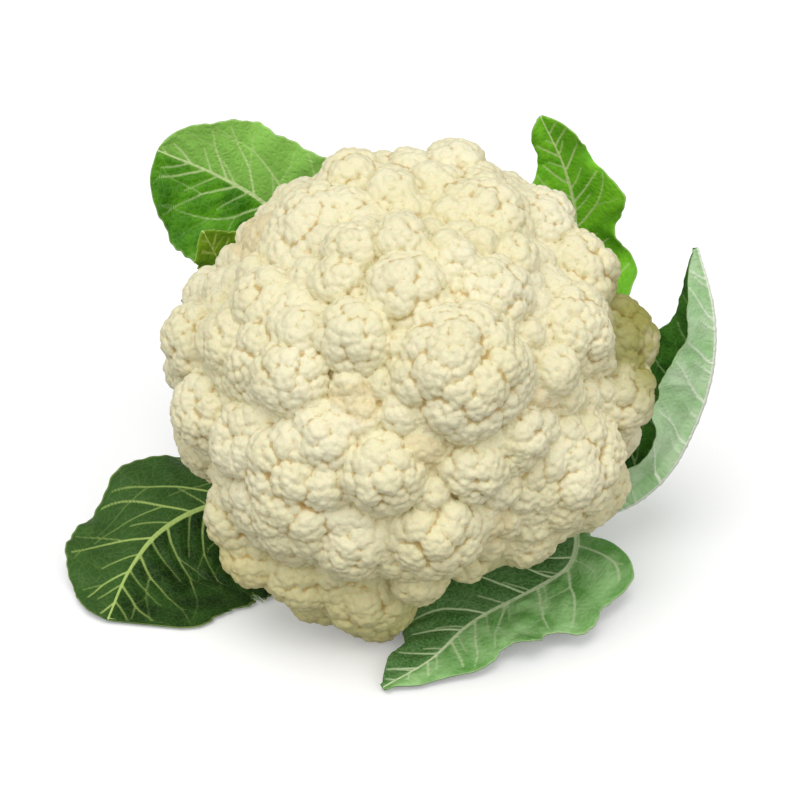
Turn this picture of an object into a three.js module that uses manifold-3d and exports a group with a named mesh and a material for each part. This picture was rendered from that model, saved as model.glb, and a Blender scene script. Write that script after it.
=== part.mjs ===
// A trimmed cauliflower head with its outer leaves, in millimetres, +Z up.
// It lies on z = 0, tipped towards -Y, on its cut stalk and its lowest florets.
// The origin is the middle of the stalk's cut face.
import * as THREE from "three";
import { mergeVertices } from "three/addons/utils/BufferGeometryUtils.js";
import Module from "manifold-3d";

const wasm = await Module();
wasm.setup();

// Head: tilt of its axis, and the dome that the florets fill.
const TILT_FORWARD = THREE.MathUtils.degToRad(20);
const TILT_RIGHT = THREE.MathUtils.degToRad(7);
const CURD_RADIUS = 85;
const CURD_HEIGHT = 77.2; // along the axis, from the cut face to the dome's centre
const CURD_DETAIL = 19; // cuts of each icosahedron edge
const CORE_RADIUS = 69; // the solid under the florets

// Underside of the curd: a ribbed cone of branches that runs down to the stalk.
const NECK_DEPTH = 46; // below the dome's centre, where the stalk begins
const NECK_RADIUS = 21;
const CONE_SLOPE = 0.7; // fall towards the neck
const BRANCHES = 11;
const BRANCH_RELIEF = 0.05;

// Florets carry rounder, smaller buds, all as shares of the floret's radius.
const FLORET_CORE = 0.9;
const BUD_RADIUS = 0.48;
const BUD_SEAT = 0.56; // distance of a bud's centre from the floret's
const BUD_COUNT = 11;
const BUD_SPREAD = THREE.MathUtils.degToRad(110);
const SMALLEST_CARRIER = 13; // florets under this radius carry no buds
const GOLDEN_ANGLE = Math.PI * (3 - Math.sqrt(5));
const SEED = 4276;

// Florets of the side that shows: turn round the axis from +X, angle down from the crown (degrees),
// radius, and how far the top stands out of the dome or lies back in it.
const SHOWN_FLORETS = [
  [80, 36, 14, 6],
  [128, 34, 13, 4],
  [122, 19, 9, 0],
  [92, 24, 7, -1],
  [45, 22, 17, 2],
  [37, 39, 15, 5],
  [15, 46, 16, 5],
  [158, 33, 17, 2],
  [195, 20, 10, 1],
  [160, 48, 13, -2],
  [174, 62, 13, -7],
  [152, 66, 14, -8],
  [200, 8, 10, 1],
  [310, 5, 5, -1],
  [312, 10, 8, 0],
  [355, 12, 6, -1],
  [357, 21, 9, 0],
  [252, 17, 14, 2],
  [322, 21, 14, 2],
  [210, 26, 10, -1],
  [238, 33, 13, 2],
  [226, 50, 14, 3],
  [219, 41, 10, 2],
  [197, 45, 13, 2],
  [199, 59, 14, 2],
  [187, 72, 14, 4],
  [205, 79, 15, 2],
  [287, 36, 24, 8],
  [322, 34, 6, -3],
  [346, 44, 17, 3],
  [323, 45, 9, 1],
  [2, 64, 14, 8],
  [344, 68, 13, 0],
  [248, 48, 11, -6],
  [260, 32, 7, -4],
  [314, 47, 6, -5],
  [244, 59, 14, 3],
  [263, 62, 14, 3],
  [224, 74, 17, 3],
  [273, 54, 8, -4],
  [289, 60, 13, 0],
  [304, 55, 10, 0],
  [320, 76, 23, 4],
  [279, 79, 18, 3],
  [241, 87, 21, 3],
  [259, 86, 15, 3],
  [226, 99, 14, 5],
  [233, 107, 12, 6],
  [246, 107, 14, 4],
  [264, 112, 16, 4],
  [277, 96, 10, 0],
  [293, 78, 8, -6],
  [308, 92, 13, -3],
  [326, 90, 10, 1],
  [250, 119, 15, 3],
  [267, 122, 15, 4],
];

// Florets of the side that doesn't show, spread by the golden angle.
const SPREAD_STEPS = 90;
const SPREAD_RIM = THREE.MathUtils.degToRad(104);
const SPREAD_RADII = [12, 19];
const SPREAD_OVERLAP = 0.82; // least distance between two florets, by their radii together
const SPREAD_LIFT = 3;

// Stalk: radii at the cut and at the neck, with the low ridges of its fibres.
const STALK_FOOT_RADIUS = 25;
const STALK_TOP_RADIUS = 20;
const STALK_BELOW = 16; // run past the table, before the cut
const STALK_RIDGES = 9;
const STALK_RIDGE_HEIGHT = 0.8;
const STALK_SIDES = 36;
const CLEARANCE = 0.4; // between pieces that touch

// Leaves: the blade's thickness, and the grid that its two faces share.
const BLADE_THICKNESS = 1.3;
const LEAF_ROWS = 18;
const RIB_COLUMNS = [0.5, 1]; // either side of the midrib, by its radius
const BLADE_COLUMNS = [1 / 3, 2 / 3, 1]; // from the rib to the margin
const RIB_TIP_RADIUS = 1;
const RIB_TIP_DEPTH = 0.5;
const PETIOLE_WING = 2.4; // blade left beside the rib along the petiole
const TIP_WING = 0.8;

// Each leaf: its midrib from the stalk to the tip, where its inner face looks near the stalk and near
// the tip, half widths left and right of the midrib, the share of the midrib that is bare petiole, where
// the blade is widest, how round its ends are, the angles of each half at the rib and their change
// towards the margin (degrees), the margin's waves and lobes, and the petiole's radius and depth.
const LEAVES = {
  leaf_back_left: {
    spine: [
      [-6, 10, 16],
      [-15, 38, 26],
      [-21, 62, 52],
      [-29, 68, 80],
      [-43, 64, 100],
      [-61, 62, 113],
      [-82, 60, 124],
    ],
    facing: [
      [0, -0.5, 1],
      [0.1, -1, 0.1],
    ],
    halfWidth: [33, 25],
    bladeFrom: 0.22,
    peak: [0.64, 0.6],
    roundness: 1,
    fold: [8, 6],
    curl: [6, 4],
    wave: { count: 3, height: 3, phase: 0.5 },
    lobe: { count: 5, depth: 0.04, phase: 0.3 },
    petiole: [5, 6],
    colour: 0x5d9a33,
  },
  leaf_back_right: {
    spine: [
      [10, 10, 16],
      [27, 36, 22],
      [53, 60, 42],
      [72, 66, 70],
      [74, 65, 92],
      [69, 62, 115],
      [59, 58, 138],
    ],
    facing: [
      [0, -0.5, 1],
      [-0.2, -1, 0.1],
    ],
    halfWidth: [20, 22],
    bladeFrom: 0.24,
    peak: [0.42, 0.3],
    roundness: 1,
    fold: [14, 10],
    curl: [4, 4],
    wave: { count: 4, height: 5, phase: 1.5 },
    lobe: { count: 4, depth: 0.12, phase: 0.8 },
    petiole: [5, 6],
    colour: 0x4f9133,
  },
  leaf_inner_small: {
    spine: [
      [-16, 4, 24],
      [-45, 24, 38],
      [-63, 34, 62],
      [-59, 38, 84],
      [-64, 32, 104],
    ],
    facing: [
      [0.4, -0.3, 1],
      [0.6, -1, 0.2],
    ],
    halfWidth: [12, 14],
    bladeFrom: 0.5,
    peak: [0.5, 0.5],
    roundness: 1.1,
    fold: [10, 10],
    curl: [0, 0],
    wave: { count: 2, height: 1, phase: 0 },
    lobe: { count: 6, depth: 0.12, phase: 0 },
    petiole: [3, 3],
    colour: 0x8aa63a,
  },
  leaf_right: {
    spine: [
      [18, -9, 17],
      [49, -10, 16],
      [80, -18, 18],
      [99, -18, 30],
      [111, -11, 48],
      [117, -6, 68],
      [117, -2, 89],
      [111, 2, 112],
    ],
    facing: [
      [-0.2, 0.1, 1],
      [-1, 0.15, 0.1],
    ],
    halfWidth: [34, 22],
    bladeFrom: 0.3,
    peak: [0.55, 0.55],
    roundness: 1,
    fold: [45, 45],
    curl: [0, 0],
    wave: { count: 3, height: 3, phase: 0 },
    lobe: { count: 5, depth: 0.06, phase: 0 },
    petiole: [5, 6],
    colour: 0x7f9d6c,
  },
  leaf_front_left: {
    spine: [
      [-17, -5, 13],
      [-43, -7, 15],
      [-65, -14, 14],
      [-80, -26, 11],
      [-89, -43, 6],
      [-94, -66, 2],
    ],
    facing: [
      [0, -0.2, 1],
      [-0.1, -0.3, 1],
    ],
    halfWidth: [42, 32],
    bladeFrom: 0.16,
    peak: [0.38, 0.42],
    roundness: 1,
    fold: [-15, 2],
    curl: [0, 0],
    wave: { count: 3, height: 4, phase: 0 },
    lobe: { count: 4, depth: 0.05, phase: 0.4 },
    petiole: [5, 6],
    colour: 0x3f6f38,
  },
  leaf_front_right: {
    spine: [
      [18, 4, 7],
      [43, 9, 7],
      [62, 2, 8],
      [71, -16, 8],
      [69, -40, 9],
      [60, -52, 8],
      [33, -72, 5],
      [18, -91, 3],
      [2, -105, 2],
    ],
    facing: [
      [0, 0, 1],
      [0, 0, 1],
    ],
    halfWidth: [29, 17],
    bladeFrom: 0.4,
    peak: [0.5, 0.36],
    roundness: 1,
    fold: [4, 20],
    curl: [0, 0],
    wave: { count: 3, height: 3, phase: 0 },
    lobe: { count: 5, depth: 0.06, phase: 0 },
    petiole: [5, 6],
    colour: 0x4d7f38,
  },
};

const headTurn = new THREE.Matrix4().makeRotationFromEuler(
  new THREE.Euler(TILT_FORWARD, TILT_RIGHT, 0, "YXZ"),
);
const headTurnBack = headTurn.clone().transpose();
const curdCentre = new THREE.Vector3(0, 0, CURD_HEIGHT).applyMatrix4(headTurn);

// Seeded random numbers from 0 to 1.
function randomFrom(seed) {
  let state = seed;
  return () => {
    state = (state + 0x6d2b79f5) | 0;
    let mixed = Math.imul(state ^ (state >>> 15), 1 | state);
    mixed = (mixed + Math.imul(mixed ^ (mixed >>> 7), 61 | mixed)) ^ mixed;
    return ((mixed ^ (mixed >>> 14)) >>> 0) / 2 ** 32;
  };
}

function solidOf(geometry) {
  const bare = geometry.clone();
  bare.deleteAttribute("normal");
  bare.deleteAttribute("uv");
  const merged = mergeVertices(bare, 1e-3);
  return new wasm.Manifold(
    new wasm.Mesh({
      numProp: 3,
      vertProperties: merged.attributes.position.array,
      triVerts: new Uint32Array(merged.index.array),
    }),
  );
}

function geometryOf(solid) {
  const mesh = solid.getMesh();
  const geometry = new THREE.BufferGeometry();
  geometry.setAttribute("position", new THREE.BufferAttribute(mesh.vertProperties, 3));
  geometry.setIndex(new THREE.BufferAttribute(mesh.triVerts, 1));
  geometry.computeVertexNormals();
  return geometry;
}

function pieceOf(name, geometry, colour, roughness) {
  const material = new THREE.MeshStandardMaterial({ color: colour, roughness, metalness: 0 });
  const piece = new THREE.Mesh(geometry, material);
  piece.name = name;
  return piece;
}

// A direction in the head's own frame, angles in radians.
function headDirection(turn, down) {
  const level = Math.sin(down);
  return new THREE.Vector3(level * Math.cos(turn), level * Math.sin(turn), Math.cos(down));
}

// The florets, each with its direction from the dome's centre, its radius and its lift.
function placeFlorets(random) {
  const florets = SHOWN_FLORETS.map(([turn, down, radius, lift]) => ({
    direction: headDirection(THREE.MathUtils.degToRad(turn), THREE.MathUtils.degToRad(down)),
    radius,
    lift,
  }));
  for (let step = 0; step < SPREAD_STEPS; step += 1) {
    const share = (step + 0.5) / SPREAD_STEPS;
    const down = Math.acos(1 - share * (1 - Math.cos(SPREAD_RIM)));
    const direction = headDirection(step * GOLDEN_ANGLE, down);
    const radius = THREE.MathUtils.lerp(...SPREAD_RADII, random());
    const lift = THREE.MathUtils.lerp(-SPREAD_LIFT, SPREAD_LIFT, random());
    const clear = (other) =>
      other.direction.angleTo(direction) * CURD_RADIUS > SPREAD_OVERLAP * (other.radius + radius);
    if (florets.every(clear)) florets.push({ direction, radius, lift });
  }
  return florets;
}

// Balls that the curd's surface wraps: each floret's core and the buds round its top.
function curdBalls(random) {
  const balls = [];
  for (const { direction, radius, lift } of placeFlorets(random)) {
    const centre = direction.clone().multiplyScalar(CURD_RADIUS + lift - radius);
    const carries = radius >= SMALLEST_CARRIER;
    balls.push({ centre, radius: carries ? radius * FLORET_CORE : radius });
    if (!carries) continue;
    const upright = new THREE.Quaternion().setFromUnitVectors(new THREE.Vector3(0, 0, 1), direction);
    const start = random() * 2 * Math.PI;
    for (let bud = 0; bud < BUD_COUNT; bud += 1) {
      const down = Math.acos(1 - ((bud + 0.3) / BUD_COUNT) * (1 - Math.cos(BUD_SPREAD)));
      const budSeat = headDirection(start + bud * GOLDEN_ANGLE, down).applyQuaternion(upright);
      const budCentre = centre.clone().addScaledVector(budSeat, radius * BUD_SEAT);
      balls.push({ centre: budCentre, radius: radius * BUD_RADIUS });
    }
  }
  return balls;
}

// Radius of the solid under the florets: a dome above, ribbed branches falling to the neck below.
function coreRadius(direction) {
  if (direction.z >= 0) return CORE_RADIUS;
  const fall = -direction.z;
  const level = Math.hypot(direction.x, direction.y);
  const neck = NECK_DEPTH / fall;
  const cone = (NECK_DEPTH + CONE_SLOPE * NECK_RADIUS) / (fall + CONE_SLOPE * level);
  const ribbed = THREE.MathUtils.smoothstep(cone * level, NECK_RADIUS, 2 * NECK_RADIUS);
  const rib = Math.cos(BRANCHES * Math.atan2(direction.y, direction.x));
  return Math.min(CORE_RADIUS, neck, cone * (1 + BRANCH_RELIEF * ribbed * rib));
}

// Distance at which a ray from the dome's centre leaves a ball, or 0 where it misses.
function exitDistance(direction, ball) {
  const along = direction.dot(ball.centre);
  const inside = ball.radius ** 2 - ball.centre.lengthSq() + along ** 2;
  return inside > 0 ? along + Math.sqrt(inside) : 0;
}

// The curd is one surface round the dome's centre, flat where it meets the table.
function makeCurd() {
  const balls = curdBalls(randomFrom(SEED));
  const geometry = new THREE.IcosahedronGeometry(1, CURD_DETAIL);
  const places = geometry.getAttribute("position");
  for (let i = 0; i < places.count; i += 1) {
    const outward = new THREE.Vector3().fromBufferAttribute(places, i).normalize();
    const direction = outward.clone().applyMatrix4(headTurnBack);
    let reach = coreRadius(direction);
    for (const ball of balls) reach = Math.max(reach, exitDistance(direction, ball));
    if (outward.z < 0) reach = Math.min(reach, curdCentre.z / -outward.z);
    const place = outward.multiplyScalar(reach).add(curdCentre);
    places.setXYZ(i, place.x, place.y, place.z);
  }
  return geometryOf(solidOf(geometry));
}

// The stalk's round body along the head's axis, grown by the clearance where it cuts the leaf bases.
function stalkBody(grow) {
  const top = CURD_HEIGHT - NECK_DEPTH - CLEARANCE;
  const profile = [
    [0, -STALK_BELOW],
    [STALK_FOOT_RADIUS + grow, -STALK_BELOW],
    [STALK_FOOT_RADIUS + grow, 0],
    [STALK_FOOT_RADIUS - 1 + grow, top / 3],
    [STALK_TOP_RADIUS + 1 + grow, (2 * top) / 3],
    [STALK_TOP_RADIUS + grow, top],
    [0, top],
  ];
  const points = profile.map(([radius, height]) => new THREE.Vector2(radius, height));
  const geometry = new THREE.LatheGeometry(points, STALK_SIDES).rotateX(Math.PI / 2);
  const places = geometry.getAttribute("position");
  for (let i = 0; i < places.count; i += 1) {
    const radius = Math.hypot(places.getX(i), places.getY(i));
    if (radius < 1) continue;
    const ridge = Math.cos(STALK_RIDGES * Math.atan2(places.getY(i), places.getX(i)));
    const grown = 1 + (STALK_RIDGE_HEIGHT * ridge) / radius;
    places.setXY(i, places.getX(i) * grown, places.getY(i) * grown);
  }
  return solidOf(geometry.applyMatrix4(headTurn));
}

// Everything above the table.
function aboveTable() {
  const side = 6 * CURD_RADIUS;
  return solidOf(new THREE.BoxGeometry(side, side, side).translate(0, 0, side / 2));
}

// Width of a blade along it, 0 at its ends and 1 where it is widest.
function bladeOutline(leaf, half, share) {
  if (share <= 0 || share >= 1) return 0;
  const peak = leaf.peak[half];
  const rise = (share / peak) ** (leaf.roundness * peak);
  const fall = ((1 - share) / (1 - peak)) ** (leaf.roundness * (1 - peak));
  return rise * fall;
}

// One row of the blade's middle surface, across the midrib at a share of its length: places from the
// left margin to the right one, each with the depth that the midrib adds behind it.
function leafRow(leaf, curve, along) {
  const middle = curve.getPointAt(along);
  const forward = curve.getTangentAt(along);
  const [near, far] = leaf.facing.map((axis) => new THREE.Vector3(...axis).normalize());
  const inner = near.lerp(far, along);
  inner.addScaledVector(forward, -inner.dot(forward)).normalize();
  const sideways = new THREE.Vector3().crossVectors(forward, inner);
  const blade = (along - leaf.bladeFrom) / (1 - leaf.bladeFrom);
  const ribRadius = THREE.MathUtils.lerp(leaf.petiole[0], RIB_TIP_RADIUS, along);
  const ribDepth = THREE.MathUtils.lerp(leaf.petiole[1], RIB_TIP_DEPTH, along);
  const wing = THREE.MathUtils.lerp(PETIOLE_WING, TIP_WING, along);
  const folded = Math.min(1, along / leaf.bladeFrom);
  const halfRow = (half) => {
    const outline = bladeOutline(leaf, half, blade);
    const lobeTurn = 2 * Math.PI * leaf.lobe.count * blade + leaf.lobe.phase + half;
    const lobes = 1 + leaf.lobe.depth * Math.sin(lobeTurn);
    const width = ribRadius + Math.max(wing, leaf.halfWidth[half] * outline * lobes - ribRadius);
    const waveTurn = 2 * Math.PI * leaf.wave.count * along + leaf.wave.phase + half;
    const wave = leaf.wave.height * outline * Math.sin(waveTurn);
    const steps = RIB_COLUMNS.map((share) => share * ribRadius);
    steps.push(...BLADE_COLUMNS.map((share) => THREE.MathUtils.lerp(ribRadius, width, share)));
    return steps.map((across) => {
      const share = across / width;
      const angle = folded * THREE.MathUtils.degToRad(leaf.fold[half] + leaf.curl[half] * share);
      const point = middle.clone();
      point.addScaledVector(sideways, (half === 0 ? -1 : 1) * across * Math.cos(angle));
      point.addScaledVector(inner, across * Math.sin(angle) + wave * share ** 2);
      point.z = Math.max(point.z, BLADE_THICKNESS);
      const depth = ribDepth * Math.sqrt(Math.max(0, 1 - (across / ribRadius) ** 2));
      return { point, depth };
    });
  };
  return [...halfRow(0).toReversed(), { point: middle, depth: ribDepth }, ...halfRow(1)];
}

// A leaf: two faces with the same grid, a blade's thickness apart, the midrib standing out of the outer one.
function makeLeaf(leaf, stalkClear) {
  const spine = leaf.spine.map((point) => new THREE.Vector3(...point));
  const curve = new THREE.CatmullRomCurve3(spine, false, "catmullrom", 0.5);
  const rows = [];
  for (let row = 0; row <= LEAF_ROWS; row += 1) rows.push(leafRow(leaf, curve, row / LEAF_ROWS));
  const columns = rows[0].length;
  const last = columns - 1;
  const innerFace = [];
  const outerFace = [];
  rows.forEach((places, row) => {
    const before = rows[Math.max(row - 1, 0)];
    const after = rows[Math.min(row + 1, LEAF_ROWS)];
    places.forEach(({ point, depth }, column) => {
      const along = after[column].point.clone().sub(before[column].point);
      const across = places[Math.min(column + 1, last)].point.clone();
      across.sub(places[Math.max(column - 1, 0)].point);
      const normal = across.cross(along).normalize();
      const outer = point.clone().addScaledVector(normal, -BLADE_THICKNESS / 2 - depth);
      outer.z = Math.max(outer.z, 0);
      innerFace.push(...point.clone().addScaledVector(normal, BLADE_THICKNESS / 2));
      outerFace.push(...outer);
    });
  });
  const under = rows.length * columns;
  const at = (row, column) => row * columns + column;
  const triangles = [];
  for (let row = 0; row < LEAF_ROWS; row += 1) {
    for (let column = 0; column < last; column += 1) {
      const [a, b] = [at(row, column), at(row, column + 1)];
      const [c, d] = [at(row + 1, column + 1), at(row + 1, column)];
      triangles.push(a, b, c, a, c, d);
      triangles.push(under + a, under + c, under + b, under + a, under + d, under + c);
    }
  }
  const rim = [];
  for (let column = 0; column < last; column += 1) rim.push(at(0, column));
  for (let row = 0; row < LEAF_ROWS; row += 1) rim.push(at(row, last));
  for (let column = last; column > 0; column -= 1) rim.push(at(LEAF_ROWS, column));
  for (let row = LEAF_ROWS; row > 0; row -= 1) rim.push(at(row, 0));
  rim.forEach((a, i) => {
    const b = rim[(i + 1) % rim.length];
    triangles.push(b, a, under + a, b, under + a, under + b);
  });
  const geometry = new THREE.BufferGeometry();
  geometry.setAttribute("position", new THREE.Float32BufferAttribute([...innerFace, ...outerFace], 3));
  geometry.setIndex(triangles);
  return geometryOf(solidOf(geometry).subtract(stalkClear));
}

const cauliflower = new THREE.Group();
cauliflower.name = "cauliflower";
cauliflower.add(pieceOf("curd", makeCurd(), 0xeee4c8, 0.75));
cauliflower.add(pieceOf("stalk", geometryOf(stalkBody(0).intersect(aboveTable())), 0xd5dcae, 0.6));
const stalkClear = stalkBody(CLEARANCE);
for (const [name, leaf] of Object.entries(LEAVES))
  cauliflower.add(pieceOf(name, makeLeaf(leaf, stalkClear), leaf.colour, 0.5));

export default cauliflower;
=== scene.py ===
import math

import bpy
import numpy as np
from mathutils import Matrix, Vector
from mathutils.kdtree import KDTree


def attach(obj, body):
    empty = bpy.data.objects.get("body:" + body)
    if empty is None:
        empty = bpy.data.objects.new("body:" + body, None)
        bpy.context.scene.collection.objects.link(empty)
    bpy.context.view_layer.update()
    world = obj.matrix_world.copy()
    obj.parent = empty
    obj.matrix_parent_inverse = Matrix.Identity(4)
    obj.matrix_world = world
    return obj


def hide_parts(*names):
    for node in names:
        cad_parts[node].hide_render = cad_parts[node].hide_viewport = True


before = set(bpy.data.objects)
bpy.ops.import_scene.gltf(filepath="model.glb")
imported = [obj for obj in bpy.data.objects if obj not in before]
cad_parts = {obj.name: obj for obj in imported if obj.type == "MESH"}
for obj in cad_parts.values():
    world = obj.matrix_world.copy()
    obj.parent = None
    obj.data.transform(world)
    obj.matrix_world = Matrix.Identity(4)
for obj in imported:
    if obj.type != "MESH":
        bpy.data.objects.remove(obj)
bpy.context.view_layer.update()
mm = 0.001  # shapes are worked out in millimetres and made in metres
goldenAngle = math.pi * (3 - math.sqrt(5))


class Wire:
    # one output socket of a material; arithmetic on it adds Math nodes
    def __init__(self, tree, socket=None):
        self.tree = tree
        self.socket = socket

    def node(self, kind, settings=(), inputs=(), output=0):
        made = self.tree.nodes.new(kind)
        for name, value in dict(settings).items():
            setattr(made, name, value)
        for plug, value in dict(inputs).items():
            if isinstance(value, Wire):
                self.tree.links.new(value.socket, made.inputs[plug])
            else:
                made.inputs[plug].default_value = value
        return Wire(self.tree, made.outputs[output])

    def maths(self, operation, *values):
        return self.node("ShaderNodeMath", {"operation": operation}, enumerate(values))

    def __add__(self, other):
        return self.maths("ADD", self, other)

    def __sub__(self, other):
        return self.maths("SUBTRACT", self, other)

    def __rsub__(self, other):
        return self.maths("SUBTRACT", other, self)

    def __mul__(self, other):
        return self.maths("MULTIPLY", self, other)

    __radd__ = __add__
    __rmul__ = __mul__

    def between(self, low, high):
        # 0 at low, 1 at high, smooth in between
        inputs = {0: self, 1: low, 2: high}
        return self.node("ShaderNodeMapRange", {"interpolation_type": "SMOOTHSTEP"}, inputs)

    def blend(self, start, end):
        # a colour from start to end as this socket goes from 0 to 1
        return self.node("ShaderNodeMix", {"data_type": "RGBA"}, {0: self, 6: start, 7: end}, 2)

    def attribute(self, name, output="Fac"):
        return self.node("ShaderNodeAttribute", {"attribute_name": name}, output=output)

    def place(self):
        return self.node("ShaderNodeTexCoord", output="Object")

    def noise(self, place, scale, detail=3, roughness=0.5):
        inputs = {"Vector": place, "Scale": scale, "Detail": detail, "Roughness": roughness}
        return self.node("ShaderNodeTexNoise", (), inputs)

    def bump(self, height, distance, strength=1.0):
        inputs = {"Height": height, "Distance": distance, "Strength": strength}
        return self.node("ShaderNodeBump", (), inputs)


def newMaterial(name, constants):
    # a Principled material: its tree as a Wire, and a function that plugs varying inputs in
    material = bpy.data.materials.new(name)
    material.use_nodes = True
    tree = material.node_tree
    tree.nodes.clear()
    shader = tree.nodes.new("ShaderNodeBsdfPrincipled")
    output = tree.nodes.new("ShaderNodeOutputMaterial")
    tree.links.new(shader.outputs[0], output.inputs[0])
    for plug, value in constants.items():
        shader.inputs[plug].default_value = value

    def connect(plug, wire):
        tree.links.new(wire.socket, shader.inputs[plug])

    return material, Wire(tree), connect


def shade(red, green, blue):
    # a colour as seen on a screen, 0 to 255, made linear
    def straight(value):
        value = value / 255
        return value / 12.92 if value <= 0.04045 else ((value + 0.055) / 1.055) ** 2.4

    return (straight(red), straight(green), straight(blue), 1)


def newMesh(name, points, corners, sides):
    # a mesh from points in millimetres and faces that all have the same number of sides
    mesh = bpy.data.meshes.new(name)
    count = len(corners)
    mesh.vertices.add(len(points))
    mesh.vertices.foreach_set("co", (np.asarray(points) * mm).astype(np.float32).ravel())
    mesh.loops.add(count * sides)
    mesh.loops.foreach_set("vertex_index", np.asarray(corners, dtype=np.int32).ravel())
    mesh.polygons.add(count)
    mesh.polygons.foreach_set("loop_start", np.arange(0, count * sides, sides, dtype=np.int32))
    mesh.update(calc_edges=True)
    mesh.validate()
    return mesh


def newPiece(name, mesh, material, node, attributes):
    for label, values in attributes.items():
        if values.ndim == 2:
            kept = mesh.attributes.new(label, "FLOAT_VECTOR", "POINT")
            kept.data.foreach_set("vector", values.astype(np.float32).ravel())
        else:
            kept = mesh.attributes.new(label, "FLOAT", "POINT")
            kept.data.foreach_set("value", values.astype(np.float32))
    mesh.shade_smooth()
    mesh.materials.append(material)
    piece = bpy.data.objects.new(name, mesh)
    bpy.context.scene.collection.objects.link(piece)
    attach(piece, "root")
    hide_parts(node)


def unit(vectors):
    return vectors / np.maximum(np.linalg.norm(vectors, axis=-1, keepdims=True), 1e-9)


def smooth(values, low, high):
    share = np.clip((values - low) / (high - low), 0, 1)
    return share * share * (3 - 2 * share)


# The head stands tipped forward and a little to the right.
tilt = math.radians(20)
lean = math.radians(7)
tipForward = np.array(
    [[1, 0, 0], [0, math.cos(tilt), -math.sin(tilt)], [0, math.sin(tilt), math.cos(tilt)]]
)
tipRight = np.array(
    [[math.cos(lean), 0, math.sin(lean)], [0, 1, 0], [-math.sin(lean), 0, math.cos(lean)]]
)
headTurn = tipRight @ tipForward

curdForm = {
    "radius": 85, "height": 77.2, "seed": 4276, "shownFrom": (0, -0.87, 0.5),
    "spacing": 0.66, "hiddenSpacing": 0.95,  # between a floret's points, in front and behind
    "coreRadius": 75, "coreCuts": 64, "neckDepth": 46.5, "neckRadius": 21,
    "coneSlope": 0.56, "coneShare": 0.88, "coneRibs": 11, "coneRibHeight": 0.05,
    "floretSwell": 1.06, "floretRim": 122, "massRim": 85, "tableGap": 0.1, "leastReach": 0.72,
    "spreadSteps": 90, "spreadRim": 104, "spreadRadii": (12, 19),
    "spreadOverlap": 0.82, "spreadLift": 3,
    "deepCount": 300, "deepRim": 96, "deepRadius": 8, "deepTop": 79.5, "deepLift": 2,
    "lobeAtRadius": [5, 9, 14, 25, 38], "lobePitch": [0.95, 0.74, 0.6, 0.5, 0.36],
    "lobeSize": (0.6, 0.92), "lobeTop": (0.96, 1.02),
    "clusterPitch": 3.8, "clusterSize": (0.62, 0.84), "clusterRise": 0.3, "clusterDepth": 0.8,
    "beadGap": 1.7, "beadRadius": 1.4, "beadSize": (0.9, 1.08), "beadStrength": (0.22, 0.4),
    "beadCrease": 0.12, "beadFrom": (58, 70), "branchBelow": 0.45,
    "creaseRounds": 8, "broadRounds": 76,
    # the first spot marks the far-right florets behind the right leaf, painted dark olive as shade
    "oliveShadeSpot": (3, 67, 0.915, 0.992), "yellowSpot": (226, 116, 0.93, 0.99),
}

# florets that the picture shows: turn round the head, down from the crown, radius, lift
shownFlorets = [
    (80, 36, 14, 4.5), (128, 34, 13, 3), (122, 19, 9, 0), (92, 24, 7, -1), (45, 22, 17, 2),
    (37, 39, 15, 3.5), (15, 46, 16, 4), (158, 33, 17, 2), (195, 20, 10, 1), (160, 48, 13, -4),
    (174, 62, 13, -7), (152, 66, 14, -8), (200, 8, 10, 1), (310, 5, 5, -1), (312, 10, 8, 0),
    (355, 12, 6, -1), (357, 21, 9, 0), (252, 17, 14, 2), (322, 21, 14, 2), (210, 26, 10, -1),
    (238, 33, 13, 2), (226, 50, 14, 3), (219, 41, 10, 0.5), (197, 45, 13, 1), (199, 59, 14, 1),
    (187, 72, 14, 4), (205, 79, 15, 2), (287, 36, 24, 9.5), (322, 34, 6, -3), (346, 44, 17, 3),
    (323, 45, 9, 1), (2, 64, 16, 6), (348, 70, 14, 5), (248, 48, 11, -6), (260, 32, 7, -4),
    (314, 47, 6, -5), (244, 59, 14, 0), (263, 62, 14, 3), (224, 74, 17, 0.5), (273, 54, 8, -4),
    (289, 60, 13, 0), (304, 55, 10, 0), (322, 76, 24, 4), (279, 79, 18, 3), (241, 87, 21, 1.5),
    (259, 86, 15, 1), (226, 99, 14, 3), (233, 107, 12, 6), (246, 107, 14, 4), (264, 112, 16, 4),
    (277, 96, 10, 0), (293, 78, 8, -6), (308, 92, 13, -3), (326, 90, 10, 1), (250, 119, 15, 3),
    (267, 122, 15, 4),
]
# the larger branches that gather several florets each, filling the gaps between them
masses = [
    (238, 77, 38, 3), (210, 50, 32, 0), (160, 32, 30, -0.5), (60, 27, 36, 0.5), (345, 38, 27, -3),
    (316, 72, 28, -1.5), (274, 84, 24, -2), (255, 108, 25, -1.5), (193, 68, 26, -4.5), (110, 62, 32, -3),
    (60, 72, 32, -3), (20, 72, 30, -4), (155, 78, 28, -10), (104, 34, 28, -0.5), (265, 10, 26, -3.5),
    (55, 90, 22, -4), (90, 88, 24, -4), (125, 88, 24, -4),
]
domeCentre = headTurn @ np.array([0, 0, curdForm["height"]])


def randomFrom(seed):
    # the part's own generator, so that the florets round the back fall in the same places
    state = [seed]

    def draw():
        state[0] = (state[0] + 0x6D2B79F5) & 0xFFFFFFFF
        mixed = ((state[0] ^ (state[0] >> 15)) * (1 | state[0])) & 0xFFFFFFFF
        mixed = ((mixed + (mixed ^ (mixed >> 7)) * (61 | mixed)) ^ mixed) & 0xFFFFFFFF
        return (mixed ^ (mixed >> 14)) / 2 ** 32

    return draw


def headDirection(turn, down):
    return np.array(
        [math.sin(down) * math.cos(turn), math.sin(down) * math.sin(turn), math.cos(down)]
    )


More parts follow.
